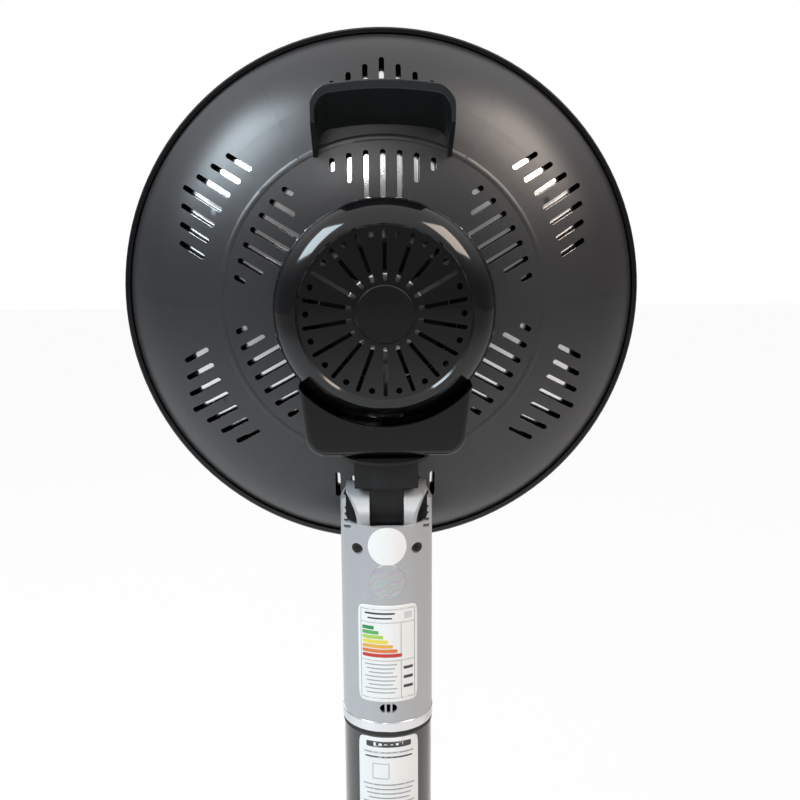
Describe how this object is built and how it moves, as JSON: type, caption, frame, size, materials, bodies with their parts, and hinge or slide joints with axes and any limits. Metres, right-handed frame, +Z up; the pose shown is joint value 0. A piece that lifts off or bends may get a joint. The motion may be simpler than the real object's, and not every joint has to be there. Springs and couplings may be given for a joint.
{
  "type": "dish heater with fan",
  "caption": "Round dish heater with a fan, quartz tube and wire guard, on a tilting and swinging neck, round column and weighted base.",
  "frame": {"origin": "on the floor under the column's axis", "axes": "+Z up, -Y is the front, towards which the dish heats, +X is the left seen from behind"},
  "size_m": [0.3999, 0.3522, 0.96],
  "materials": {
    "shell_black": "dark charcoal satin moulding",
    "gloss_black": "high gloss black moulding",
    "satin_black": "satin black moulding",
    "casing_silver": "silver painted plastic",
    "chrome": "bright plated",
    "tube_dark": "gloss dark paint",
    "reflector_bright": "polished and anodised",
    "zinc_steel": "zinc plated",
    "quartz": "clear quartz",
    "carbon": "matt carbon strand",
    "ceramic": "unglazed white ceramic",
    "iron": "painted casting",
    "rubber": "soft black rubber",
    "nylon_white": "natural nylon",
    "window_smoke": "smoked window",
    "board_green": "solder mask",
    "lens_red": "deep red lens",
    "button_grey": "satin grey moulding"
  },
  "bodies": {
    "stand": {"casing_rear": "casing_silver", "casing_front": "casing_silver", "casing_screws": "zinc_steel", "saddle": "casing_silver", "control_panel": "gloss_black", "display_window": "window_smoke", "receiver_lens": "lens_red", "circuit_board": "board_green", "pivot_bracket": "zinc_steel", "tilt_bolt": "zinc_steel", "chrome_ring": "chrome", "ring_gasket": "rubber", "column_tube": "tube_dark", "tube_socket": "nylon_white", "socket_screws": "zinc_steel", "base_cover": "satin_black", "base_weight": "iron", "base_plate": "zinc_steel", "rubber_feet": "rubber", "tip_switch": "satin_black", "cord_gland": "rubber"},
    "neck": {"neck": "satin_black", "swivel_disc": "satin_black", "swing_gear": "nylon_white", "spigot_washer": "zinc_steel", "spigot_screw": "zinc_steel", "tilt_washers": "nylon_white"},
    "head": {"rear_shell": "shell_black", "rim_ring": "gloss_black", "reflector": "reflector_bright", "front_guard": "chrome", "guard_hub": "gloss_black", "guard_clips": "zinc_steel", "heat_tube": "quartz", "filament": "carbon", "tube_caps": "ceramic", "tube_clips": "zinc_steel", "outlet_grille": "zinc_steel", "motor_housing": "gloss_black", "motor_cover": "gloss_black", "hub_cap": "gloss_black", "cover_latch": "gloss_black", "fan_motor": "zinc_steel", "motor_bracket": "zinc_steel", "thermal_cutout": "ceramic", "swing_housing": "gloss_black", "swing_lid": "gloss_black", "swing_motor": "zinc_steel", "handle": "shell_black", "handle_screws": "zinc_steel"},
    "fan": {"fan_wheel": "satin_black", "fan_shaft": "zinc_steel", "fan_nut": "zinc_steel"},
    "pinion": {"swing_pinion": "nylon_white"},
    "power": {"button_power": "button_grey"},
    "heat": {"button_heat": "button_grey"},
    "swing": {"button_swing": "button_grey"},
    "timer": {"button_timer": "button_grey"},
    "plunger": {"tip_plunger": "nylon_white"}
  },
  "joints": [
    {"name": "tilt", "type": "hinge", "parent": "stand", "child": "neck", "pos_m": [0, 0, 0.612], "axis": [1, 0, 0], "range_deg": [-20, 15]},
    {"name": "swing", "type": "hinge", "parent": "neck", "child": "head", "pos_m": [0, 0, 0.662], "axis": [0, 0, 1], "range_deg": [-35, 35]},
    {"name": "pinion_turn", "type": "hinge", "parent": "head", "child": "pinion", "pos_m": [0.01949, -0.01125, 0.666], "axis": [0, 0, 1], "range_deg": [-80, 80]},
    {"name": "fan_spin", "type": "hinge", "parent": "head", "child": "fan", "pos_m": [0, -0.02, 0.76], "axis": [0, 1, 0], "continuous": true},
    {"name": "power_press", "type": "slide", "parent": "stand", "child": "power", "axis": [0, 1, 0], "range_m": [0, 0.0012], "stiffness_N_per_m": 800},
    {"name": "heat_press", "type": "slide", "parent": "stand", "child": "heat", "axis": [0, 1, 0], "range_m": [0, 0.0012], "stiffness_N_per_m": 800},
    {"name": "swing_press", "type": "slide", "parent": "stand", "child": "swing", "axis": [0, 1, 0], "range_m": [0, 0.0012], "stiffness_N_per_m": 800},
    {"name": "timer_press", "type": "slide", "parent": "stand", "child": "timer", "axis": [0, 1, 0], "range_m": [0, 0.0012], "stiffness_N_per_m": 800},
    {"name": "plunger_drop", "type": "slide", "parent": "stand", "child": "plunger", "axis": [0, 0, 1], "range_m": [-0.004, 0], "stiffness_N_per_m": 100}
  ],
  "couplings": [
    {"joint": "pinion_turn", "follows": "swing", "ratio": 2}
  ]
}
